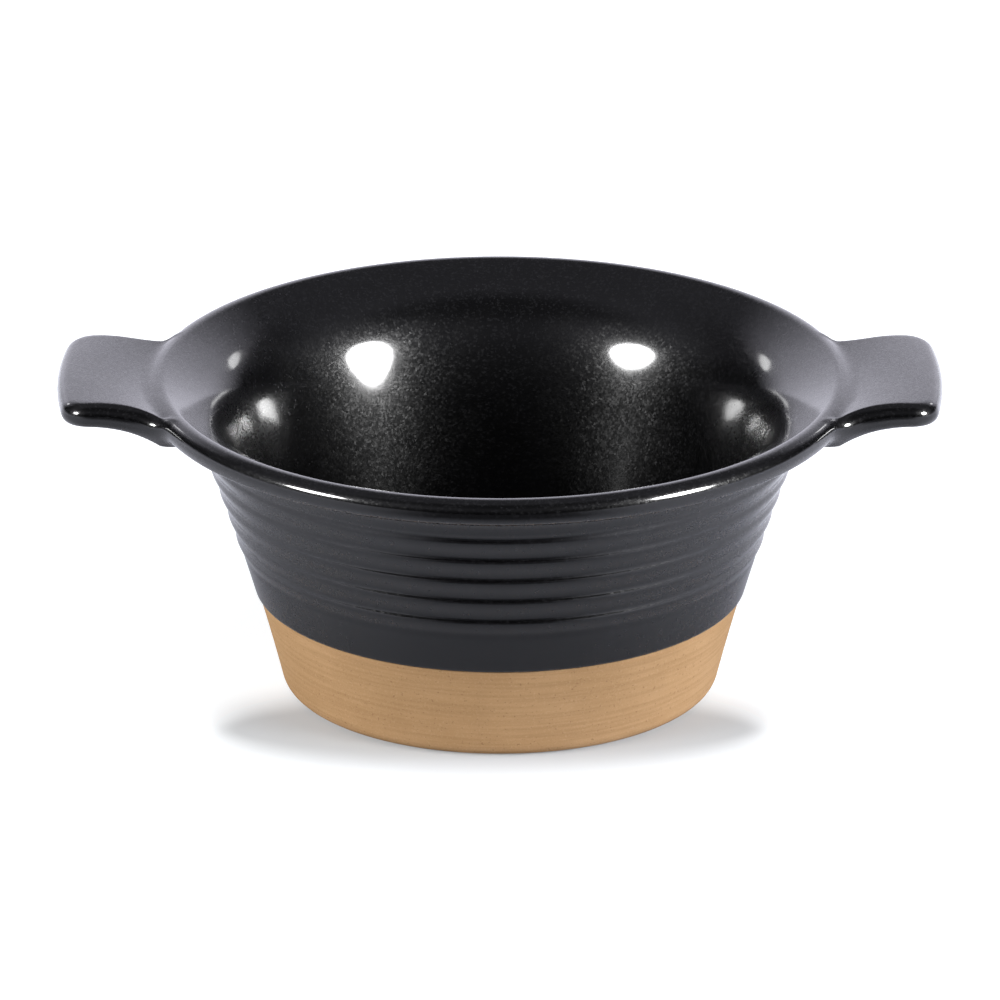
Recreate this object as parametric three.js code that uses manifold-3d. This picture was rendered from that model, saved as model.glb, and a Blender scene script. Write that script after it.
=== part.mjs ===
// A deep stoneware pie dish with two lug handles. A clay bowl is turned on the wheel, a pressed clay
// lug is luted to each side of its lip, and a black glaze coats the inside, the lugs and the upper
// outside. The outside coat stops above the foot and leaves a band of bare clay.
// Millimetres, +Z up, the lugs along X, standing on z = 0 with the axis of the bowl at the origin.
import * as THREE from "three";
import { mergeVertices } from "three/addons/utils/BufferGeometryUtils.js";
import Module from "manifold-3d";

// Clay bowl
const RIM_RADIUS = 69.5; // outer edge of the lip
const RIM_HEIGHT = 63.4; // crest of the lip
const LIP_RADIUS = 2.2; // roundness of the lip's section
const LIP_OVERHANG = 6.3; // how far the lip stands out past the wall
const NECK = 5.5; // height of the hollow round under the lip
const FOOT_RADIUS = 42.8; // outside of the wall, carried down to the table
const FOOT_ROUND = 2.4; // height of the rounded edge at the foot
const FOOT_RING = 8; // width of the ring that the dish stands on
const FOOT_RECESS = 0.8; // depth of the hollow inside that ring
const WALL_FLARE = 0.26; // share of the wall's spread that curves outwards
const WALL = 3.6; // thickness of the clay wall at the floor, measured level
const FLOOR = 5; // thickness of the floor
const FLOOR_CORNER = 2.5; // size of the round between floor and wall
const SHOULDER = 53; // height where the inside wall bends out to the lip
const SHOULDER_WALL = 5.1; // thickness of the clay wall there, measured level
const FLANGE = 17; // how far in from the lip that bend reaches
const FLANGE_SLOPE = 27.6; // degrees from level, where the inside runs out to the lip

// Throwing ribs on the outside wall
const RIB_PITCH = 4.9; // from groove to groove
const RIB_DEPTH = 0.42; // of a groove below the wall, and of a ridge above it

// Black glaze
const GLAZE = 0.5; // thickness of the coat
const GLAZE_LINE = 20; // height where the outside coat ends

// Lug handles
const LUG_REACH = 17.5; // from the lip to the tip
const LUG_WIDTH = 41;
const LUG_ROOT_THICKNESS = 5;
const LUG_TIP_THICKNESS = 3.6;
const LUG_CORNER = 5; // radius of the two corners at the tip
const LUG_TIP_RADIUS = 115; // bow of the tip, seen from above
const LUG_ROOT_FILLET = 9; // radius of the sweep from the lip into each side
const SWEEP_LIMIT = 0.9; // of the side short of the corner, the most that the sweep may take
const LUG_ROOT_RISE = -0.5; // top of the lug at the lip, above the crest
const LUG_TIP_RISE = 0.7; // top of the lug at the tip, above the crest
const LUG_BOW = 1.35; // rise of the lug's top between root and tip
const LUTING_SEAM = 0.3; // joint between a lug and the bowl

// Facets
const TURN_STEPS = 48; // around the bowl
const FACETS_PER_RIB = 2;
const LIP_STEPS = 6; // from the underside of the lip to its crest
const BEND_STEPS = 4; // along each bend of the profile
const WALL_STEPS = 9; // down the inside wall
const SWEEP_STEPS = 4; // along the sweep at the root of a lug
const SIDE_STEPS = 2; // along its straight side
const CORNER_STEPS = 5; // round each corner of the tip
const EDGE_STEPS = 4; // round the edge of a lug, an even number
const ACROSS_STEPS = 4; // across a lug
const TIP_EDGE_SHARE = 0.3; // of the lug's thickness, left flat on its rounded tip

const wasm = await Module();
wasm.setup();

const { degToRad, lerp } = THREE.MathUtils;
const at = (radius, height) => new THREE.Vector2(radius, height);

// Outside radius of the clay wall at a height, before the ribs
function wallRadius(height) {
  const up = height / RIM_HEIGHT;
  const spread = RIM_RADIUS - LIP_OVERHANG - FOOT_RADIUS;
  return FOOT_RADIUS + spread * ((1 - WALL_FLARE) * up + WALL_FLARE * up * up);
}

const outsideAt = (height) => at(wallRadius(height), height);

// A bend in the profile that leaves start and reaches end along the lines to the corner
function bend(start, corner, end) {
  return new THREE.QuadraticBezierCurve(start, corner, end).getPoints(BEND_STEPS);
}

// Underside, foot and bare wall, from the axis out and up to the glaze line
function bareClayLine() {
  const standing = wallRadius(0) - FOOT_ROUND;
  const ring = standing - FOOT_RING;
  return [
    at(0, FOOT_RECESS),
    at(ring - FOOT_RECESS, FOOT_RECESS),
    at(ring, 0),
    ...bend(at(standing, 0), outsideAt(0), outsideAt(FOOT_ROUND)),
    outsideAt((FOOT_ROUND + GLAZE_LINE) / 2),
  ];
}

// Ribbed wall, hollow under the lip and the lip's outer half, from the glaze line up to the crest
function outsideLine() {
  const underside = RIM_HEIGHT - 2 * LIP_RADIUS;
  const neck = underside - NECK;
  const facet = RIB_PITCH / FACETS_PER_RIB;
  const line = [outsideAt(GLAZE_LINE)];
  for (let i = 1; i < Math.round((neck - GLAZE_LINE) / facet); i += 1) {
    const point = outsideAt(GLAZE_LINE + i * facet);
    point.x += RIB_DEPTH * Math.cos((2 * Math.PI * i) / FACETS_PER_RIB);
    line.push(point);
  }
  const lipMiddle = at(RIM_RADIUS - LIP_RADIUS, RIM_HEIGHT - LIP_RADIUS);
  line.push(...bend(outsideAt(neck), outsideAt(underside), at(lipMiddle.x, underside)));
  for (let i = 1; i <= LIP_STEPS; i += 1) {
    const turn = lerp(-Math.PI / 2, Math.PI / 2, i / LIP_STEPS);
    line.push(at(Math.cos(turn), Math.sin(turn)).multiplyScalar(LIP_RADIUS).add(lipMiddle));
  }
  return line;
}

// Bend from the lip into the inside wall, the wall and the floor, from past the crest to the axis
function insideLine() {
  const slope = degToRad(FLANGE_SLOPE);
  const lipMiddle = at(RIM_RADIUS - LIP_RADIUS, RIM_HEIGHT - LIP_RADIUS);
  const lipEnd = at(-Math.sin(slope), Math.cos(slope)).multiplyScalar(LIP_RADIUS).add(lipMiddle);
  const flange = at(-Math.cos(slope), -Math.sin(slope)).multiplyScalar(FLANGE).add(lipEnd);
  const shoulder = at(wallRadius(SHOULDER) - SHOULDER_WALL, SHOULDER);
  const floorCorner = at(wallRadius(FLOOR) - WALL, FLOOR);
  const wallFoot = floorCorner.clone().lerp(shoulder, FLOOR_CORNER / (SHOULDER - FLOOR));
  const floorEdge = at(floorCorner.x - FLOOR_CORNER, FLOOR);
  const line = new THREE.CubicBezierCurve(lipEnd, flange, shoulder, wallFoot).getPoints(WALL_STEPS);
  line.push(...bend(wallFoot, floorCorner, floorEdge).slice(1), at(0, FLOOR));
  return line;
}

// The profile moved out of the clay by a thickness
function raised(line, thickness) {
  return line.map((point, i) => {
    const before = line[Math.max(i - 1, 0)];
    const after = line[Math.min(i + 1, line.length - 1)];
    const along = after.clone().sub(before).normalize();
    return at(along.y, -along.x).multiplyScalar(thickness).add(point);
  });
}

// The position-only, merged geometry of a profile turned about the Z axis
function turned(profile) {
  const geometry = new THREE.LatheGeometry(profile, TURN_STEPS).rotateX(Math.PI / 2);
  geometry.deleteAttribute("normal");
  geometry.deleteAttribute("uv");
  return mergeVertices(geometry);
}

// A lug along +X, grown on every side: rings of points from its root inside the lip to its tip
function lugGeometry(grow) {
  const half = LUG_WIDTH / 2 + grow;
  const corner = LUG_CORNER + grow;
  const fillet = LUG_ROOT_FILLET - grow;
  const lip = RIM_RADIUS + grow;
  const lipX = (y) => Math.sqrt(lip ** 2 - y ** 2);
  const tipX = (y) => lip + LUG_REACH - LUG_TIP_RADIUS + Math.sqrt(LUG_TIP_RADIUS ** 2 - y ** 2);

  // The sweep at the root is an arc that touches the lip and the lug's straight side
  const cornerStart = 1 - corner / LUG_REACH;
  const sweepY = half + fillet;
  const sweepX = Math.sqrt((lip + fillet) ** 2 - sweepY ** 2);
  const wholeSweep = (sweepX - lipX(half)) / (tipX(half) - lipX(half));
  const sweepEnd = Math.min(wholeSweep, SWEEP_LIMIT * cornerStart);
  const touch = (sweepX * fillet) / (lip + fillet);
  const sweptOut = (along) => {
    const back = touch * THREE.MathUtils.clamp(1 - along / sweepEnd, 0, 1);
    return fillet - Math.sqrt(fillet ** 2 - back ** 2);
  };

  const stations = [{ along: -(LIP_OVERHANG + 2 * grow) / LUG_REACH, turn: 0 }];
  for (let i = 0; i <= SWEEP_STEPS; i += 1) {
    stations.push({ along: (sweepEnd * i) / SWEEP_STEPS, turn: 0 });
  }
  for (let i = 1; i <= SIDE_STEPS; i += 1) {
    stations.push({ along: lerp(sweepEnd, cornerStart, i / SIDE_STEPS), turn: 0 });
  }
  for (let i = 1; i <= CORNER_STEPS; i += 1) {
    const turn = ((i / CORNER_STEPS) * Math.PI) / 2;
    stations.push({ along: lerp(cornerStart, 1, Math.sin(turn)), turn });
  }

  const rings = stations.map(({ along, turn }) => {
    const out = Math.max(along, 0);
    const clayThickness = lerp(LUG_ROOT_THICKNESS, LUG_TIP_THICKNESS, out);
    const top = lerp(LUG_ROOT_RISE, LUG_TIP_RISE, out) + LUG_BOW * 4 * out * (1 - out);
    const middle = RIM_HEIGHT + top - clayThickness / 2;
    const fullEdge = clayThickness / 2 + grow;
    const inFromTip = Math.min(((1 - along) * LUG_REACH) / fullEdge, 1);
    const edge = fullEdge * Math.max(Math.sqrt(1 - (1 - inFromTip) ** 2), TIP_EDGE_SHARE);
    const side = half - corner * (1 - Math.cos(turn)) + sweptOut(along) - edge;
    const ring = [];
    for (const [way, first] of [[1, -Math.PI / 2], [-1, Math.PI / 2]]) {
      for (let i = 0; i <= EDGE_STEPS; i += 1) {
        const angle = first + (Math.PI * i) / EDGE_STEPS;
        ring.push([way * side + edge * Math.cos(angle), middle + edge * Math.sin(angle)]);
      }
      for (let i = 1; i < ACROSS_STEPS; i += 1) {
        ring.push([way * lerp(side, -side, i / ACROSS_STEPS), middle + way * edge]);
      }
    }
    return ring.map(([y, z]) => new THREE.Vector3(lerp(lipX(y), tipX(y), along), y, z));
  });
  return lofted(rings);
}

// A closed skin over rings of points, each turning anticlockwise seen from the last ring's side. A ring
// mirrors about its middle height, so strips from its top to its bottom close each end along the bow.
function lofted(rings) {
  const count = rings[0].length;
  const last = (rings.length - 1) * count;
  const faces = [];
  for (let k = 0; k + 1 < rings.length; k += 1) {
    for (let j = 0; j < count; j += 1) {
      const a = k * count + j;
      const b = k * count + ((j + 1) % count);
      faces.push(a, b, b + count, a, b + count, a + count);
    }
  }
  const mirrored = (j) => (EDGE_STEPS - j + count) % count;
  for (let j = EDGE_STEPS / 2; j < (EDGE_STEPS + count) / 2; j += 1) {
    for (const [a, b, c] of [[j, j + 1, mirrored(j + 1)], [j, mirrored(j + 1), mirrored(j)]]) {
      if (a !== c && b !== c) faces.push(a, c, b, last + a, last + b, last + c);
    }
  }
  return new THREE.BufferGeometry().setFromPoints(rings.flat()).setIndex(faces);
}

function solidOf(geometry) {
  const vertProperties = geometry.getAttribute("position").array;
  const triVerts = new Uint32Array(geometry.index.array);
  return new wasm.Manifold(new wasm.Mesh({ numProp: 3, vertProperties, triVerts }));
}

function geometryOf(solid) {
  const { vertProperties, triVerts } = solid.getMesh();
  return new THREE.BufferGeometry()
    .setAttribute("position", new THREE.BufferAttribute(vertProperties, 3))
    .setIndex(new THREE.BufferAttribute(triVerts, 1));
}

function piece(name, geometry, material) {
  geometry.computeVertexNormals();
  const mesh = new THREE.Mesh(geometry, material);
  mesh.name = name;
  return mesh;
}

const clay = new THREE.MeshStandardMaterial({ color: 0xb8946a, roughness: 0.85, metalness: 0 });
const blackGlaze = new THREE.MeshStandardMaterial({ color: 0x121214, roughness: 0.22, metalness: 0 });

const outside = outsideLine();
const glazed = [...outside, ...insideLine()];
const coat = raised(glazed, GLAZE);
const crest = outside.length - 1;

// Everything within a distance of the bowl's outside, filled in to the axis
function bowlGrown(distance) {
  const line = raised(glazed, distance).slice(0, crest + 1);
  return solidOf(turned([at(0, line[0].y), ...line, at(0, line[crest].y)]));
}

const dish = new THREE.Group();

const bowlLine = [...bareClayLine(), ...glazed];
dish.add(piece("clay_bowl", turned(bowlLine), clay));

const innerCoat = [...glazed.slice(crest).reverse(), ...coat.slice(crest)];
dish.add(piece("inner_glaze", turned(innerCoat), blackGlaze));

// The lugs join the clay, so the outside coat opens round their roots
const outerCoat = [...coat.slice(0, crest + 1), ...glazed.slice(0, crest + 1).reverse(), coat[0]];
const lugWindow = lugGeometry(LUTING_SEAM);
const oppositeWindow = lugWindow.clone().rotateZ(Math.PI);
const openCoat = solidOf(turned(outerCoat)).subtract(solidOf(lugWindow)).subtract(solidOf(oppositeWindow));
dish.add(piece("outer_glaze", geometryOf(openCoat), blackGlaze));

const wholeLug = solidOf(lugGeometry(0));
const lug = wholeLug.subtract(bowlGrown(LUTING_SEAM));
const lugCoat = solidOf(lugGeometry(GLAZE)).subtract(bowlGrown(GLAZE + LUTING_SEAM)).subtract(wholeLug);
for (const [side, turn] of [["right", 0], ["left", Math.PI]]) {
  const handle = new THREE.Group();
  handle.rotation.z = turn;
  handle.add(piece(`${side}_lug`, geometryOf(lug), clay));
  handle.add(piece(`${side}_lug_glaze`, geometryOf(lugCoat), blackGlaze));
  dish.add(handle);
}

export default dish;
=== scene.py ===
# A deep stoneware pie dish with two lug handles, glazed black above a bare clay foot, on a white floor.
import math
import bpy
import numpy as np
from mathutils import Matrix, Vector


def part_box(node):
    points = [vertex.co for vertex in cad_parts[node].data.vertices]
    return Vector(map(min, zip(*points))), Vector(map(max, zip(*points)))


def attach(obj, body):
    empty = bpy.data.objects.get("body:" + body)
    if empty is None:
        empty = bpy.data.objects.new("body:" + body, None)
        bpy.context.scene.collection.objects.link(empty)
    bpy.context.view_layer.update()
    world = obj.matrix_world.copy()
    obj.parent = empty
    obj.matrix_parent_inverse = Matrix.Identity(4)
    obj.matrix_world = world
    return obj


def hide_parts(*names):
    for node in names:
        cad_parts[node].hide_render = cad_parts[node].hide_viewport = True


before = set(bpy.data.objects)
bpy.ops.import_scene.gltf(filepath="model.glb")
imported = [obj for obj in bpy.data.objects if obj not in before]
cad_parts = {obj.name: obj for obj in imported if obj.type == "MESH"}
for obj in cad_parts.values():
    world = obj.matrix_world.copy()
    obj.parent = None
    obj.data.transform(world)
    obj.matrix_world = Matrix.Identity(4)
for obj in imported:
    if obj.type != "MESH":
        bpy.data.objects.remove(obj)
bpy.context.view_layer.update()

# Clay bowl
# The body of the dish: stoneware thrown on the wheel in one piece, with a level floor, a flared wall and a
# rolled lip, and a turned foot ring underneath. The lower wall and the foot stay bare, and glaze hides all
# the rest.
bowl_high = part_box("clay_bowl")[1]
RIM_RADIUS = bowl_high.x
RIM_HEIGHT = bowl_high.z
LIP_RADIUS = 0.0022
LIP_OVERHANG = 0.0063
NECK_DROP = 0.0055
NECK = RIM_HEIGHT - 2 * LIP_RADIUS - NECK_DROP
FOOT_RADIUS = 0.0428
FOOT_ROUND = 0.0024
FOOT_RING = 0.008
FOOT_RECESS = 0.0008
WALL_FLARE = 0.26
WALL = 0.0036
FLOOR = 0.005
FLOOR_CORNER = 0.0025
SHOULDER = 0.053
SHOULDER_WALL = 0.0051
FLANGE = 0.017
FLANGE_SLOPE = math.radians(27.6)
GLAZE = 0.0005
GLAZE_LINE = 0.020
CLAY_UNDER_GLAZE = 0.0006
TURN_STEPS = 192
FLOOR_STEPS = 9
BEND_STEPS = 8
WALL_STEPS = 32
LIP_STEPS = 10
HIDDEN_ROWS = 12
BARE_ROWS = 24
WELD = GLAZE / 50
lip_middle = np.array([RIM_RADIUS - LIP_RADIUS, RIM_HEIGHT - LIP_RADIUS])


def wall_radius(height):
    """Outside radius of the bare clay wall at a height."""
    up = height / RIM_HEIGHT
    spread = RIM_RADIUS - LIP_OVERHANG - FOOT_RADIUS
    return FOOT_RADIUS + spread * ((1 - WALL_FLARE) * up + WALL_FLARE * up * up)


def bend(start, corner, end):
    """Points of a curve that leaves start and reaches end along the lines to the corner."""
    t = np.linspace(0, 1, BEND_STEPS + 1)[:, None]
    start, corner, end = (np.asarray(point, float) for point in (start, corner, end))
    return (1 - t) ** 2 * start + 2 * t * (1 - t) * corner + t * t * end


def sweep(start, first, second, end, steps):
    """Points of a curve that leaves start towards first and reaches end from second."""
    t = np.linspace(0, 1, steps + 1)[:, None]
    return (1 - t) ** 3 * start + 3 * t * (1 - t) ** 2 * first + 3 * t * t * (1 - t) * second + t ** 3 * end


def lip_arc(first, last, round_radius, steps):
    """Points round the lip between two angles, in degrees from level."""
    turns = np.radians(np.linspace(first, last, steps + 1))
    return lip_middle + round_radius * np.stack([np.cos(turns), np.sin(turns)], 1)


def inside_line():
    """Radius and height of the clay from the floor's middle up the wall and out to the crest of the lip."""
    floor_corner = np.array([wall_radius(FLOOR) - WALL, FLOOR])
    shoulder = np.array([wall_radius(SHOULDER) - SHOULDER_WALL, SHOULDER])
    wall_foot = floor_corner + (shoulder - floor_corner) * FLOOR_CORNER / (SHOULDER - FLOOR)
    floor_edge = floor_corner - (FLOOR_CORNER, 0)
    floor = [(radius, FLOOR) for radius in np.linspace(0, floor_edge[0], FLOOR_STEPS + 1)[:-1]]
    floor_bend = bend(floor_edge, floor_corner, wall_foot)
    lip_end = lip_middle + LIP_RADIUS * np.array([-math.sin(FLANGE_SLOPE), math.cos(FLANGE_SLOPE)])
    flange = lip_end - FLANGE * np.array([math.cos(FLANGE_SLOPE), math.sin(FLANGE_SLOPE)])
    wall = sweep(wall_foot, shoulder, flange, lip_end, WALL_STEPS)[1:]
    lip = lip_arc(90 + math.degrees(FLANGE_SLOPE), 90, LIP_RADIUS, LIP_STEPS // 2)[1:]
    return np.vstack([floor, floor_bend, wall, lip])


def outside_line(lip_bottom, raised, steps):
    """Radius and height from under the lip down the neck and wall to the glaze line, raised off the clay."""
    low = lip_bottom - raised
    under_lip = (lip_middle[0], low)
    corner = (wall_radius(low) + raised, low)
    neck = bend(under_lip, corner, (wall_radius(NECK) + raised, NECK))
    wall = [(wall_radius(z) + raised, z) for z in np.linspace(NECK, GLAZE_LINE + GLAZE, steps)[1:]]
    return np.vstack([neck, wall])


def offset_line(line, distance):
    """A line of radius and height moved sideways, to the right of its run, which is into the clay."""
    run = np.gradient(line, axis=0)
    right = np.stack([run[:, 1], -run[:, 0]], 1)
    return line + distance * right / np.linalg.norm(right, axis=1)[:, None]


def clay_profile():
    """Radius and height down the section of the bowl, from the floor's middle to the underside's middle."""
    under = CLAY_UNDER_GLAZE
    inside = offset_line(inside_line(), under)
    inside[0, 0] = 0
    lip = lip_arc(90, -90, LIP_RADIUS - under, LIP_STEPS)[1:-1]
    outside = outside_line(RIM_HEIGHT - 2 * LIP_RADIUS, -under, HIDDEN_ROWS)
    bare = [(wall_radius(z), z) for z in np.linspace(GLAZE_LINE + GLAZE, FOOT_ROUND, BARE_ROWS)[:-1]]
    standing = FOOT_RADIUS - FOOT_ROUND
    ring = standing - FOOT_RING
    foot = bend((wall_radius(FOOT_ROUND), FOOT_ROUND), (FOOT_RADIUS, 0), (standing, 0))
    recess = [
        (ring, 0), (ring - FOOT_RECESS, FOOT_RECESS / 2),
        (ring - 2 * FOOT_RECESS, FOOT_RECESS), (0, FOOT_RECESS),
    ]
    return np.vstack([inside, lip, outside, bare, foot, recess])


def add(tree, kind, *links, **settings):
    """A new node: settings are its properties, and links are pairs of an input and its value or source."""
    made = tree.nodes.new(kind)
    for name, value in settings.items():
        setattr(made, name, value)
    for socket, value in links:
        if isinstance(value, bpy.types.NodeSocket):
            tree.links.new(value, made.inputs[socket])
        else:
            made.inputs[socket].default_value = value
    return made


def maths(tree, operation, first, second=0.0):
    """The output of a Math node."""
    return add(tree, "ShaderNodeMath", (0, first), (1, second), operation=operation).outputs[0]


def new_tree(name, sizes):
    """A Geometry Nodes tree with a geometry input and output and a named input for each size."""
    tree = bpy.data.node_groups.new(name, "GeometryNodeTree")
    tree.interface.new_socket("Geometry", in_out="INPUT", socket_type="NodeSocketGeometry")
    for label, kind in sizes:
        tree.interface.new_socket(label, in_out="INPUT", socket_type=kind)
    tree.interface.new_socket("Geometry", in_out="OUTPUT", socket_type="NodeSocketGeometry")
    return tree, tree.nodes.new("NodeGroupInput").outputs


def close_tree(tree, geometry, material):
    """Smooths the faces, realizes what is instanced, gives it its material and sends it out."""
    smooth = add(tree, "GeometryNodeSetShadeSmooth", (0, geometry))
    real = add(tree, "GeometryNodeRealizeInstances", (0, smooth.outputs[0]))
    finished = add(tree, "GeometryNodeSetMaterial", (0, real.outputs[0]), ("Material", material))
    add(tree, "NodeGroupOutput", (0, finished.outputs[0]))


def shaped(name, mesh, tree, values):
    """An object of the mesh that the tree makes from a starting mesh, with the modifier applied."""
    piece = bpy.data.objects.new(name, mesh)
    bpy.context.scene.collection.objects.link(piece)
    modifier = piece.modifiers.new(tree.name, "NODES")
    modifier.node_group = tree
    for item in tree.interface.items_tree:
        if item.in_out == "INPUT" and item.name in values:
            modifier[item.identifier] = values[item.name]
    graph = bpy.context.evaluated_depsgraph_get()
    result = bpy.data.meshes.new_from_object(piece.evaluated_get(graph))
    piece.modifiers.clear()
    piece.data = result
    result.name = name
    return piece


def turning_tree():
    """Turns a profile, a chain of edges in the XZ plane, about the Z axis."""
    tree, given = new_tree("turned on the wheel", [
        ("Guide radius", "NodeSocketFloat"),
        ("Steps around", "NodeSocketInt"),
        ("Weld", "NodeSocketFloat"),
        ("Material", "NodeSocketMaterial"),
    ])
    profile = add(tree, "GeometryNodeMeshToCurve", (0, given["Geometry"]))
    circle = add(
        tree, "GeometryNodeCurvePrimitiveCircle",
        ("Resolution", given["Steps around"]), ("Radius", given["Guide radius"]),
    )
    turned = add(tree, "GeometryNodeCurveToMesh", (0, circle.outputs[0]), (1, profile.outputs[0]))
    welded = add(tree, "GeometryNodeMergeByDistance", (0, turned.outputs[0]), ("Distance", given["Weld"]))
    close_tree(tree, welded.outputs[0], given["Material"])
    return tree


def new_material(name, **sockets):
    """A material with the given values on its shader, and its tree, shader and coordinates to add to."""
    material = bpy.data.materials.new(name)
    material.use_nodes = True
    tree = material.node_tree
    shader = tree.nodes["Principled BSDF"]
    for label, value in sockets.items():
        shader.inputs[label.replace("_", " ")].default_value = value
    place = tree.nodes.new("ShaderNodeTexCoord").outputs["Object"]
    return material, tree, shader, place


def noise(tree, place, scale, detail=2.0, stretch=(1, 1, 1)):
    """The grey output of a noise with a number of waves in each metre, stretched along the axes."""
    mapped = add(tree, "ShaderNodeMapping", ("Vector", place), ("Scale", stretch))
    return add(
        tree, "ShaderNodeTexNoise", ("Vector", mapped.outputs[0]), ("Scale", scale), ("Detail", detail),
    ).outputs["Fac"]


def ranged(tree, value, low, high, to_low=0.0, to_high=1.0):
    """A value carried from one range to another with a soft start and end, and held outside it."""
    return add(
        tree, "ShaderNodeMapRange", ("Value", value), ("From Min", low), ("From Max", high),
        ("To Min", to_low), ("To Max", to_high), interpolation_type="SMOOTHSTEP",
    ).outputs[0]


def mixed(tree, share, first, second):
    """A colour between two colours."""
    return add(tree, "ShaderNodeMix", (0, share), (6, first), (7, second), data_type="RGBA").outputs[2]


TAN_CLAY = (0.42, 0.253, 0.1185, 1)
BUFF_CLAY = (0.47, 0.289, 0.1415, 1)
TURNED_LINE = (0.336, 0.193, 0.084, 1)
PALE_GRAIN = (0.54, 0.353, 0.191, 1)
DARK_SPECK = (0.22, 0.12, 0.055, 1)
CLAY_RELIEF = 0.0001
LINE_SHARE = 0.7
LINE_STRETCH = (0.03, 0.03, 1.0)
# Waves of noise in each metre.
LINES = 1500
BLOTCHES = 70
GRAIN = 2600
SPECKS = 1900


def clay_material():
    """Bare stoneware: tan, matt, with fine turning lines, pale and dark speckle and soft blotches."""
    material, tree, shader, place = new_material("bare clay", Roughness=0.82, Specular_IOR_Level=0.05)
    lines = noise(tree, place, LINES, stretch=LINE_STRETCH)
    blotches = noise(tree, place, BLOTCHES, detail=3.0)
    grain = noise(tree, place, GRAIN)
    dark_specks = noise(tree, place, SPECKS, detail=1.0)
    colour = mixed(tree, ranged(tree, blotches, 0.3, 0.7), TAN_CLAY, BUFF_CLAY)
    colour = mixed(tree, ranged(tree, lines, 0.36, 0.7, 0.0, 0.45), colour, TURNED_LINE)
    colour = mixed(tree, ranged(tree, grain, 0.5, 0.75, 0.0, 0.4), colour, PALE_GRAIN)
    colour = mixed(tree, ranged(tree, dark_specks, 0.66, 0.74, 0.0, 0.5), colour, DARK_SPECK)
    tree.links.new(colour, shader.inputs["Base Color"])
    relief = maths(tree, "MULTIPLY", grain, 1 - LINE_SHARE)
    relief = maths(tree, "ADD", maths(tree, "MULTIPLY", lines, LINE_SHARE), relief)
    bump = add(tree, "ShaderNodeBump", ("Strength", 0.5), ("Distance", CLAY_RELIEF), ("Height", relief))
    tree.links.new(bump.outputs[0], shader.inputs["Normal"])
    return material


def profile_mesh(name, profile):
    """A chain of edges along a profile of radius and height, for the turning tree."""
    mesh = bpy.data.meshes.new(name)
    points = [(radius - RIM_RADIUS, -height, 0) for radius, height in profile]
    mesh.from_pydata(points, [(i, i + 1) for i in range(len(points) - 1)], [])
    return mesh


bare_clay = clay_material()
clay_bowl = shaped("turned_clay_bowl", profile_mesh("bowl profile", clay_profile()), turning_tree(), {
    "Guide radius": RIM_RADIUS,
    "Steps around": TURN_STEPS,
    "Weld": WELD,
    "Material": bare_clay,
})
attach(clay_bowl, "root")
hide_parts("clay_bowl")

# Lugs
# Two flat ears of the same clay, pressed in a mould and luted to opposite sides of the lip with slip. The
# glaze runs over them, so that only their form shows.
LUG_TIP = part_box("right_lug_glaze")[1].x
LUG_HALF = 0.021
LUG_CORNER = 0.0055
LUG_TIP_BOW = 0.115
LUG_SWEEP = 0.0085
LUG_ROOT_RISE = -0.0008
LUG_TIP_RISE = 0.0007
LUG_BOW = 0.00135
LUG_ROOT_THICKNESS = 0.006
LUG_TIP_THICKNESS = 0.0046
VALLEY = 0.0006
LUG_BLEND = 0.003
LUG_COLUMNS = 34
ACROSS_STEPS = 160
LIP_ROWS = 38
EDGE_FINENESS = 2.2
LIP_PULL = 0.42
CORNER_PULL = 0.8
FLAT_SAMPLES = 60
ROUND_SAMPLES = 121
LIP_ROUND = LIP_RADIUS + GLAZE
CREST = RIM_HEIGHT + GLAZE
rim = RIM_RADIUS + GLAZE
tip_middle = LUG_TIP - LUG_TIP_BOW
corner_x = tip_middle + math.sqrt((LUG_TIP_BOW - LUG_CORNER) ** 2 - (LUG_HALF - LUG_CORNER) ** 2)
sweep_x = math.sqrt((rim + LUG_SWEEP) ** 2 - (LUG_HALF + LUG_SWEEP) ** 2)
lug_angle = math.atan2(LUG_HALF + LUG_SWEEP, sweep_x)
corner_turn = math.asin((LUG_HALF - LUG_CORNER) / (LUG_TIP_BOW - LUG_CORNER))
tip_length = LUG_TIP_BOW * corner_turn
corner_length = LUG_CORNER * (math.pi / 2 - corner_turn)
side_length = corner_x - sweep_x
sweep_length = LUG_SWEEP * (math.pi / 2 - lug_angle)
outline_length = tip_length + corner_length + side_length + sweep_length


def heading(angle):
    """The direction in plan at an angle from the X axis."""
    return np.array([math.cos(angle), math.sin(angle)])


def lug_outline(distance):
    """Point and outward direction on the right lug's edge in plan, at a distance from the tip's middle."""
    if distance <= tip_length:
        way = heading(distance / LUG_TIP_BOW)
        return np.array([tip_middle, 0]) + LUG_TIP_BOW * way, way
    distance -= tip_length
    if distance <= corner_length:
        way = heading(corner_turn + distance / LUG_CORNER)
        return np.array([corner_x, LUG_HALF - LUG_CORNER]) + LUG_CORNER * way, way
    distance -= corner_length
    if distance <= side_length:
        return np.array([corner_x - distance, LUG_HALF]), np.array([0.0, 1.0])
    way = heading(math.pi / 2 - (distance - side_length) / LUG_SWEEP)
    return np.array([sweep_x, LUG_HALF + LUG_SWEEP]) - LUG_SWEEP * way, way


def lug_columns():
    """Each column across the right lug: its angle at the lip, and its edge's point and outward direction."""
    columns = []
    for i in range(-LUG_COLUMNS, LUG_COLUMNS + 1):
        share = abs(i) / LUG_COLUMNS
        point, way = lug_outline(share * outline_length)
        mirror = np.array([1, math.copysign(1, i)])
        columns.append((math.copysign(share * lug_angle, i), point * mirror, way * mirror))
    return columns


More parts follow.
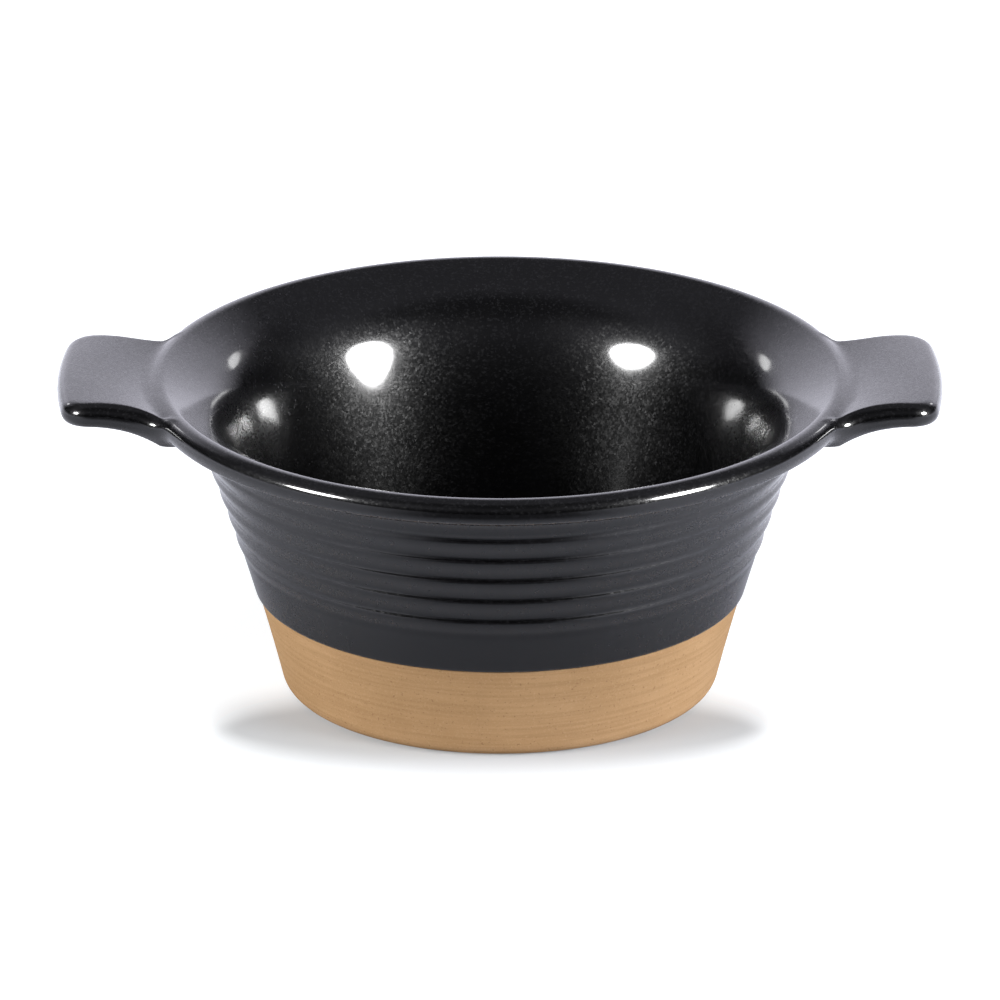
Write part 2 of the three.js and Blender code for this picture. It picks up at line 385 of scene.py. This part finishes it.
def lug_share(x, y):
    """How far a place in plan lies from the lip towards the tip of the right lug, from 0 to 1."""
    lip_x = np.sqrt(rim ** 2 - y ** 2)
    tip_x = tip_middle + np.sqrt(LUG_TIP_BOW ** 2 - y ** 2)
    return np.clip((x - lip_x) / (tip_x - lip_x), 0, 1)


def soft_max(first, second, width):
    """The larger of two heights, with the corner between them filled over a width."""
    near = np.maximum(width - np.abs(first - second), 0) / width
    return np.maximum(first, second) + near * near * width / 4


def lip_section(angle, edge_point, edge_way, inset=0.0):
    """Points over the lip, and over a lug where there is one, from the crest round the edge to the underside,
    and the height of the underside at the lip's middle."""
    radial = heading(angle)
    start = lip_middle[0] * radial
    edge_point = edge_point - inset * edge_way
    span = np.linalg.norm(edge_point - start)
    pull = LIP_PULL * span
    first = start + pull * radial
    second = edge_point - min(pull, CORNER_PULL * LUG_CORNER) * edge_way
    path = sweep(start, first, second, edge_point, ACROSS_STEPS)
    run = np.concatenate([[0], np.cumsum(np.linalg.norm(np.diff(path, axis=0), axis=1))])
    length = run[-1]

    share = lug_share(path[:, 0], path[:, 1])
    blend = np.clip((length + inset - LIP_ROUND) / LUG_BLEND, 0, 1)
    blend = blend * blend * (3 - 2 * blend)
    out = np.hypot(path[:, 0], path[:, 1]) - lip_middle[0]
    bead = lip_middle[1] + np.sqrt(np.maximum(LIP_ROUND ** 2 - out ** 2, 0)) - np.maximum(out - LIP_ROUND, 0)
    arch = 4 * LUG_BOW * share * (1 - share)
    lug_top = CREST + LUG_ROOT_RISE + share * (LUG_TIP_RISE - LUG_ROOT_RISE) + arch
    lug_bottom = lug_top - LUG_ROOT_THICKNESS - share * (LUG_TIP_THICKNESS - LUG_ROOT_THICKNESS)
    top = CREST - inset + blend * (soft_max(bead, lug_top, VALLEY) - CREST)
    bottom = CREST - 2 * LIP_ROUND + inset + blend * (lug_bottom - CREST + 2 * LIP_ROUND)

    round_edge = min((top[-1] - bottom[-1]) / 2, length)
    flat = np.linspace(0, length - round_edge, FLAT_SAMPLES)
    turns = np.linspace(math.pi / 2, -math.pi / 2, ROUND_SAMPLES)
    bent = length - round_edge + round_edge * np.cos(turns)
    along = np.concatenate([flat, bent[1:-1], flat[::-1]])
    rise = np.concatenate([np.ones_like(flat), np.sin(turns[1:-1]), -np.ones_like(flat)])
    middle = np.interp(along, run, (top + bottom) / 2)
    half = np.interp(along, run, (top - bottom) / 2)
    height = middle + half * rise
    place = np.stack([np.interp(along, run, path[:, 0]), np.interp(along, run, path[:, 1]), height], 1)

    weight = np.where(np.abs(rise[1:] + rise[:-1]) < 2, EDGE_FINENESS, 1.0)
    cost = np.concatenate([[0], np.cumsum(weight * np.linalg.norm(np.diff(place, axis=0), axis=1))])
    wanted = np.linspace(0, cost[-1], LIP_ROWS + 1)
    return np.stack([np.interp(wanted, cost, place[:, i]) for i in range(3)], 1), bottom[0]


def lug_mesh(name, side):
    """A closed lug: a ring of points round the section at each column, and a face across each end."""
    inset = GLAZE + CLAY_UNDER_GLAZE
    rings = [lip_section(*column, inset)[0] * (side, side, 1) for column in lug_columns()]
    count = LIP_ROWS + 1
    last = (len(rings) - 1) * count
    faces = [tuple(range(count - 1, -1, -1)), tuple(range(last, last + count))]
    for start in range(0, last, count):
        for i in range(count):
            here, after = start + i, start + (i + 1) % count
            faces.append((after, after + count, here + count, here))
    mesh = bpy.data.meshes.new(name)
    mesh.from_pydata(np.vstack(rings).tolist(), [], faces)
    mesh.materials.append(bare_clay)
    return mesh


for node, side in (("left_lug", -1), ("right_lug", 1)):
    lug = bpy.data.objects.new("pressed_" + node, lug_mesh(node, side))
    bpy.context.scene.collection.objects.link(lug)
    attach(lug, "root")
    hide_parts(node)

# Black glaze
# One coat of glossy black glaze with a fine grey grain, poured inside and dipped outside before the firing.
# It runs over the lip and both lugs and ends on the wall in a soft edge above the foot.
RIB_PITCH = 0.0049
RIB_DEPTH = 0.00030
RIB_FALL = 0.28
FIRST_RIB = 0.01691
PLAIN_BAND = 1.6 * RIB_PITCH
FACING_OUT = 0.2
COAT = 0.00035
RIM_COLUMNS = 52
WALL_ROWS = 96
RIB_WAVES = 45.0
CRYSTALS = 2600.0
CRYSTAL_LEAN = 0.15
CLOUDS = 160
RIPPLES = 320
RIPPLE_HEIGHT = 0.0002
BODY_BLACK = (0.0008, 0.0008, 0.0009, 1)
CRYSTAL_GREY = (0.006, 0.006, 0.0065, 1)


def coat_mesh():
    """The outer skin of the glaze before its ribs, in columns from the floor's middle to the lower edge."""
    inner = offset_line(inside_line(), -GLAZE)[1:-1]
    turns = np.radians([30, 60, 90])
    rounded = GLAZE * np.stack([np.cos(turns), -np.sin(turns)], 1)
    edge = np.array([wall_radius(GLAZE_LINE), GLAZE_LINE + GLAZE]) + rounded
    columns = lug_columns()
    for angle in np.linspace(lug_angle, math.pi - lug_angle, RIM_COLUMNS + 1)[1:-1]:
        way = heading(angle)
        columns.append((angle, rim * way, way))
    half = []
    for angle, edge_point, edge_way in columns:
        lip, lip_bottom = lip_section(angle, edge_point, edge_way)
        outer = np.vstack([outside_line(lip_bottom + GLAZE, GLAZE, WALL_ROWS)[1:], edge])
        radial = heading(angle)
        rings = [np.column_stack([line[:, :1] * radial, line[:, 1]]) for line in (inner, outer)]
        half.append(np.vstack([rings[0], lip, rings[1]]))
    rows, count = len(half[0]), 2 * len(half)
    points = np.vstack([[(0, 0, FLOOR + GLAZE)], *half, *(column * (-1, -1, 1) for column in half)])
    faces = []
    for j in range(count):
        here = 1 + j * rows
        beside = 1 + (j + 1) % count * rows
        faces.append((0, here, beside))
        faces += [(here + i, here + i + 1, beside + i + 1, beside + i) for i in range(rows - 1)]
    mesh = bpy.data.meshes.new("glaze skin")
    mesh.from_pydata(points.tolist(), [], faces)
    return mesh


def vector_maths(tree, operation, *operands):
    """The outputs of a Vector Math node."""
    return add(tree, "ShaderNodeVectorMath", *enumerate(operands), operation=operation).outputs


def scaled(tree, vector, factor):
    """A vector times a number."""
    return add(tree, "ShaderNodeVectorMath", (0, vector), ("Scale", factor), operation="SCALE").outputs[0]


def rib_tree():
    """Ridges and grooves round the outside wall, a little uneven, as fingers leave them on the wheel."""
    tree, given = new_tree("throwing ribs", [
        ("Pitch", "NodeSocketFloat"),
        ("Depth", "NodeSocketFloat"),
        ("First", "NodeSocketFloat"),
        ("Fall", "NodeSocketFloat"),
        ("Lowest", "NodeSocketFloat"),
        ("Highest", "NodeSocketFloat"),
        ("Fade", "NodeSocketFloat"),
        ("Unevenness", "NodeSocketFloat"),
        ("Seed", "NodeSocketFloat"),
        ("Material", "NodeSocketMaterial"),
    ])
    position = tree.nodes.new("GeometryNodeInputPosition").outputs[0]
    normal = tree.nodes.new("GeometryNodeInputNormal").outputs[0]
    height = add(tree, "ShaderNodeSeparateXYZ", (0, position)).outputs["Z"]
    level = vector_maths(tree, "MULTIPLY", position, (1, 1, 0))["Vector"]
    radial = vector_maths(tree, "NORMALIZE", level)["Vector"]
    facing = vector_maths(tree, "DOT_PRODUCT", normal, radial)["Value"]
    above_first = maths(tree, "SUBTRACT", height, given["First"])
    turns = maths(tree, "FRACT", maths(tree, "DIVIDE", above_first, given["Pitch"]))
    falling = maths(tree, "DIVIDE", turns, given["Fall"])
    to_ridge = maths(tree, "SUBTRACT", 1.0, turns)
    rising = maths(tree, "DIVIDE", to_ridge, maths(tree, "SUBTRACT", 1.0, given["Fall"]))
    wave = ranged(tree, maths(tree, "MINIMUM", falling, rising), 0.0, 1.0, 1.0, -1.0)
    uneven = add(
        tree, "ShaderNodeTexNoise", ("Vector", position), ("W", given["Seed"]),
        ("Scale", RIB_WAVES), ("Detail", 1.0), noise_dimensions="4D",
    ).outputs["Fac"]
    swing = maths(tree, "MULTIPLY", maths(tree, "SUBTRACT", uneven, 0.5), given["Unevenness"])
    depth = maths(tree, "MULTIPLY", given["Depth"], maths(tree, "ADD", swing, 1.0))
    rise = maths(tree, "DIVIDE", maths(tree, "SUBTRACT", height, given["Lowest"]), given["Fade"])
    fall = maths(tree, "DIVIDE", maths(tree, "SUBTRACT", given["Highest"], height), given["Fade"])
    within = ranged(tree, maths(tree, "MINIMUM", rise, fall), 0.0, 1.0)
    offset = maths(tree, "MULTIPLY", maths(tree, "MULTIPLY", wave, depth), within)
    push = scaled(tree, radial, offset)
    outside = maths(tree, "GREATER_THAN", facing, FACING_OUT)
    ribbed = add(
        tree, "GeometryNodeSetPosition", (0, given["Geometry"]), ("Selection", outside), ("Offset", push),
    )
    close_tree(tree, ribbed.outputs[0], given["Material"])
    return tree


def glaze_material():
    """Black glaze: a clear glossy skin over a black body full of fine grey crystals, each leaning its way."""
    material, tree, shader, place = new_material(
        "black glaze", Specular_IOR_Level=0.05, Coat_Weight=1.0, Coat_Roughness=0.1, Coat_IOR=1.45,
    )
    crystals = add(tree, "ShaderNodeTexVoronoi", ("Vector", place), ("Scale", CRYSTALS)).outputs["Color"]
    lean = vector_maths(tree, "SUBTRACT", crystals, (0.5, 0.5, 0.5))["Vector"]
    upright = tree.nodes.new("ShaderNodeNewGeometry").outputs["Normal"]
    leaning = vector_maths(tree, "ADD", upright, scaled(tree, lean, CRYSTAL_LEAN))["Vector"]
    facet = vector_maths(tree, "NORMALIZE", leaning)["Vector"]
    tree.links.new(facet, shader.inputs["Normal"])
    share = add(tree, "ShaderNodeSeparateXYZ", (0, crystals)).outputs["X"]
    colour = mixed(tree, ranged(tree, share, 0.7, 1.0), BODY_BLACK, CRYSTAL_GREY)
    tree.links.new(colour, shader.inputs["Base Color"])
    cloud = noise(tree, place, CLOUDS, detail=3.0)
    tree.links.new(ranged(tree, cloud, 0.3, 0.7, 0.3, 0.36), shader.inputs["Roughness"])
    waves = noise(tree, place, RIPPLES)
    ripple = add(tree, "ShaderNodeBump", ("Strength", 0.02), ("Distance", RIPPLE_HEIGHT), ("Height", waves))
    tree.links.new(ripple.outputs[0], shader.inputs["Coat Normal"])
    return material


black_glaze = glaze_material()
glaze_coat = shaped("glaze_coat", coat_mesh(), rib_tree(), {
    "Pitch": RIB_PITCH,
    "Depth": RIB_DEPTH,
    "First": FIRST_RIB,
    "Fall": RIB_FALL,
    "Lowest": GLAZE_LINE + PLAIN_BAND,
    "Highest": NECK,
    "Fade": RIB_PITCH / 3,
    "Unevenness": 0.4,
    "Seed": 3.0,
    "Material": black_glaze,
})
thickness = glaze_coat.modifiers.new("coat thickness", "SOLIDIFY")
thickness.thickness = COAT
thickness.offset = -1
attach(glaze_coat, "root")
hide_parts("inner_glaze", "outer_glaze", "left_lug_glaze", "right_lug_glaze")

# White floor and studio
# The dish stands on a white sweep. A softbox stands low in front on each side, with a weak side light beyond
# it and a small lamp behind, and a soft light hangs above. The glaze mirrors a softbox far brighter than the
# matt clay shows it, so a softbox is two lights in one place, one for the mirror and one for the clay.
FLOOR_REACH = 30.0
FLOOR_TO_CAMERA = (0.43, 0.45, 0.46, 1)
# The floor as the glaze mirrors it: painted shade ahead of the dish, and a painted glow aside and behind.
NEAR_IN_GLAZE = (0.5, 0.51, 0.55, 1)
PAINTED_SHADE_IN_GLAZE = (0.12, 0.12, 0.13, 1)
GLOW_IN_GLAZE = (0.95, 0.95, 1.05, 1)
GLOW_IN_SHADOW = (0.22, 0.22, 0.22, 1)
SHADOW_MIDDLE = (-0.0019, -0.0282, 0)
SHADOW_HALF_WIDTH = 0.05405
SHADOW_HALF_DEPTH = 0.02326
SHADOW_EDGE_IN = 0.00436
SHADOW_EDGE_OUT = 0.00396
SHADOW_EDGE_STRETCH = 2.754
LEAST_SLOPE = 0.05
LEAST_REACH = 0.01
# Each span is where a change over the floor starts and ends, and the levels that it joins where not 0 and 1.
CLEAR_OF_FOOT = (0.05, 0.14, 0.76, 1.1)
DARK_AHEAD = (0.085, 0.16)
LIT_ASIDE = (0.05, 0.15, 0.0, 0.65)
LIT_LEFT_TO_RIGHT = (-0.1, 0.1, 0.88, 1.3)
LIT_BEHIND = (0.05, 0.25, 0.0, 0.4)
AHEAD_TO_ASIDE = (0.25, 0.75)


def floor_material():
    """White floor: white to the camera round a painted oval shadow; in the glaze painted shade ahead, painted
    light aside.
    """
    material, tree, shader, spot = new_material("white floor", Roughness=0.9, Specular_IOR_Level=0.0)
    path = tree.nodes.new("ShaderNodeLightPath").outputs
    to_camera = maths(tree, "MAXIMUM", path["Is Camera Ray"], path["Is Transmission Ray"])
    reach = vector_maths(tree, "LENGTH", spot)["Value"]
    across = add(tree, "ShaderNodeSeparateXYZ", (0, spot)).outputs

    # Painted shadow: a soft oval of weaker glow on the floor in front of the foot, seen by the camera.
    oval_size = (SHADOW_HALF_WIDTH, SHADOW_HALF_DEPTH, 1)
    edge_size = (SHADOW_HALF_WIDTH, SHADOW_HALF_DEPTH / SHADOW_EDGE_STRETCH, 1)
    from_middle = vector_maths(tree, "SUBTRACT", spot, SHADOW_MIDDLE)["Vector"]
    oval = vector_maths(tree, "DIVIDE", from_middle, oval_size)["Vector"]
    slope = vector_maths(tree, "LENGTH", vector_maths(tree, "DIVIDE", oval, edge_size)["Vector"])["Value"]
    oval = vector_maths(tree, "LENGTH", oval)["Value"]
    off_edge = maths(tree, "MULTIPLY", maths(tree, "SUBTRACT", oval, 1.0), oval)
    off_edge = maths(tree, "DIVIDE", off_edge, maths(tree, "MAXIMUM", slope, LEAST_SLOPE))
    shadow = ranged(tree, off_edge, -SHADOW_EDGE_IN, SHADOW_EDGE_OUT, 1.0, 0.0)
    # The glow is also weaker near the foot, so that the dish's own shadow shows there.
    for_camera = mixed(tree, shadow, ranged(tree, reach, *CLEAR_OF_FOOT), GLOW_IN_SHADOW)

    # In the glaze the floor shows painted shade ahead and painted light aside, brighter to the right and
    # behind.
    aside = maths(tree, "ABSOLUTE", across["X"])
    aside = maths(tree, "DIVIDE", aside, maths(tree, "MAXIMUM", reach, LEAST_REACH))
    aside = maths(tree, "MAXIMUM", aside, maths(tree, "GREATER_THAN", across["Y"], 0.0))
    aside = ranged(tree, aside, *AHEAD_TO_ASIDE)
    ahead = maths(tree, "MULTIPLY", ranged(tree, reach, *DARK_AHEAD), maths(tree, "SUBTRACT", 1.0, aside))
    in_glaze = mixed(tree, ahead, NEAR_IN_GLAZE, PAINTED_SHADE_IN_GLAZE)
    lit = maths(tree, "MULTIPLY", aside, ranged(tree, reach, *LIT_ASIDE))
    lit = maths(tree, "MULTIPLY", lit, ranged(tree, across["X"], *LIT_LEFT_TO_RIGHT))
    lit = maths(tree, "ADD", lit, ranged(tree, across["Y"], *LIT_BEHIND))
    lit = maths(tree, "MULTIPLY", path["Is Glossy Ray"], lit)

    tree.links.new(mixed(tree, to_camera, in_glaze, FLOOR_TO_CAMERA), shader.inputs["Base Color"])
    tree.links.new(mixed(tree, to_camera, GLOW_IN_GLAZE, for_camera), shader.inputs["Emission Color"])
    tree.links.new(maths(tree, "ADD", lit, to_camera), shader.inputs["Emission Strength"])
    return material


floor_mesh = bpy.data.meshes.new("floor")
floor_corners = [(x * FLOOR_REACH, y * FLOOR_REACH, 0) for x, y in ((-1, -1), (1, -1), (1, 1), (-1, 1))]
floor_mesh.from_pydata(floor_corners, [], [(0, 1, 2, 3)])
floor_mesh.materials.append(floor_material())
studio_floor = bpy.data.objects.new("studio_floor", floor_mesh)
bpy.context.scene.collection.objects.link(studio_floor)

# The room's spans are in the parts of a direction: X across, Y to the back and Z up.
BACKDROP_LEAN = 0.55
BACKDROP_EDGE = (0.70, 0.98)
BACKDROP_TOP = (0.40, 0.80, 1.4, 0.0)
STRIP_TOP = (0.02, 0.11, 1.2, 0.0)
STRIP_FRONT = (-0.75, -0.3)
CEILING_EDGE = (0.55, 0.9, 0.0, 0.25)
CEILING_FRONT = (-0.35, 0.0)
HAZE_FOOT = (0.15, 0.55, 0.03, 0.22)
HAZE_TOP = (0.6, 0.85, 1.0, 0.5)
HAZE_FRONT_TO_BACK = (-0.2, 0.4, 1.2, 0.3)
HAZE_TO_SIDE = (0.1, 0.8, 0.75, 1.5)
SOFT_FILL = 0.2
WHITE_TO_CAMERA = 1.1
ROOM_TINT = (0.96, 0.95, 1.08, 1)


def between(tree, share, first, second):
    """A number between two numbers."""
    return add(tree, "ShaderNodeMix", (0, share), (2, first), (3, second)).outputs[0]


def light_room(world):
    """White to the camera, a soft fill on matt surfaces, and in the glaze a white backdrop behind, pale
    strips low at the sides, a dim ceiling and a haze over a dark front."""
    world.use_nodes = True
    world.cycles.sampling_method = "NONE"
    tree = world.node_tree
    path = tree.nodes.new("ShaderNodeLightPath").outputs
    direction = tree.nodes.new("ShaderNodeTexCoord").outputs["Generated"]
    way = add(tree, "ShaderNodeSeparateXYZ", (0, direction)).outputs
    sideways = maths(tree, "ABSOLUTE", way["X"])

    behind = maths(tree, "ADD", way["Y"], maths(tree, "MULTIPLY", way["Z"], BACKDROP_LEAN))
    behind = ranged(tree, behind, *BACKDROP_EDGE)
    backdrop = maths(tree, "MULTIPLY", behind, ranged(tree, way["Z"], *BACKDROP_TOP))
    strips = maths(tree, "MULTIPLY", ranged(tree, way["Y"], *STRIP_FRONT), ranged(tree, way["Z"], *STRIP_TOP))
    strips = maths(tree, "MULTIPLY", strips, ranged(tree, sideways, *AHEAD_TO_ASIDE))
    ceiling = ranged(tree, way["Z"], *CEILING_EDGE)
    ceiling = maths(tree, "MULTIPLY", ceiling, ranged(tree, way["Y"], *CEILING_FRONT))
    haze = maths(tree, "MULTIPLY", ranged(tree, way["Z"], *HAZE_FOOT), ranged(tree, way["Z"], *HAZE_TOP))
    haze = maths(tree, "MULTIPLY", haze, ranged(tree, way["Y"], *HAZE_FRONT_TO_BACK))
    haze = maths(tree, "MULTIPLY", haze, ranged(tree, sideways, *HAZE_TO_SIDE))
    mirrored = maths(tree, "MAXIMUM", backdrop, strips)
    mirrored = maths(tree, "MAXIMUM", mirrored, maths(tree, "ADD", ceiling, haze))

    in_mirror = maths(tree, "MAXIMUM", path["Is Glossy Ray"], path["Is Transmission Ray"])
    strength = between(tree, in_mirror, SOFT_FILL, mirrored)
    strength = between(tree, path["Is Camera Ray"], strength, WHITE_TO_CAMERA)
    background = tree.nodes["Background"]
    tree.links.new(strength, background.inputs["Strength"])
    background.inputs["Color"].default_value = ROOM_TINT


studio = bpy.data.worlds.new("studio")
bpy.context.scene.world = studio
light_room(studio)

LIGHT_DISTANCE = 1.2


def soft_light(name, azimuth, elevation, width, height, watts, in_glaze, tint=(1, 1, 1)):
    """A light that faces the dish from an azimuth off the camera's side and an elevation, in degrees. It
    shows either in the glaze alone or on matt surfaces alone."""
    turn, tilt = math.radians(azimuth), math.radians(elevation)
    back = Vector((math.sin(turn) * math.cos(tilt), -math.cos(turn) * math.cos(tilt), math.sin(tilt)))
    data = bpy.data.lights.new(name, "AREA")
    data.shape = "ELLIPSE"
    data.size, data.size_y = width, height
    data.energy = watts
    data.color = tint
    light = bpy.data.objects.new(name, data)
    bpy.context.scene.collection.objects.link(light)
    light.location = Vector((0, 0, RIM_HEIGHT / 2)) + back * LIGHT_DISTANCE
    light.rotation_euler = back.to_track_quat("Z", "Y").to_euler()
    light.visible_camera = False
    light.visible_glossy = in_glaze
    light.visible_diffuse = not in_glaze


soft_light("right_softbox", 60, 20.5, 0.41, 0.40, 60.0, in_glaze=True)
soft_light("right_softbox_glow", 60, 20.5, 0.44, 0.42, 12.5, in_glaze=False)
soft_light("left_softbox", -61, 22, 0.41, 0.28, 28.0, in_glaze=True)
soft_light("left_softbox_glow", -61, 21, 0.44, 0.33, 9.8, in_glaze=False)
soft_light("right_side_light", 85, 12, 0.5, 0.5, 6.9, in_glaze=False, tint=(0.88, 1.0, 1.3))
soft_light("left_side_light", -85, 12, 0.5, 0.5, 4.8, in_glaze=False, tint=(0.92, 1.0, 1.15))
soft_light("right_back_lamp", 138, 26, 0.12, 0.2, 0.4, in_glaze=True)
soft_light("left_back_lamp", -137, 24.5, 0.12, 0.2, 0.4, in_glaze=True)
soft_light("overhead_light", 0, 72, 0.6, 0.6, 4.0, in_glaze=False)

CAMERA_ELEVATION = math.radians(21.29)
CAMERA_DISTANCE = 3.0
AIM = Vector((0, 0, 0.0375))
FIELD = 0.1982
camera_data = bpy.data.cameras.new("camera")
camera_data.sensor_width = 36
camera_data.lens = camera_data.sensor_width * CAMERA_DISTANCE / FIELD
camera_data.clip_end = 100
camera = bpy.data.objects.new("camera", camera_data)
bpy.context.scene.collection.objects.link(camera)
back = Vector((0, -math.cos(CAMERA_ELEVATION), math.sin(CAMERA_ELEVATION)))
camera.location = AIM + back * CAMERA_DISTANCE
camera.rotation_euler = back.to_track_quat("Z", "Y").to_euler()
bpy.context.scene.camera = camera
bpy.context.scene.view_settings.view_transform = "Standard"
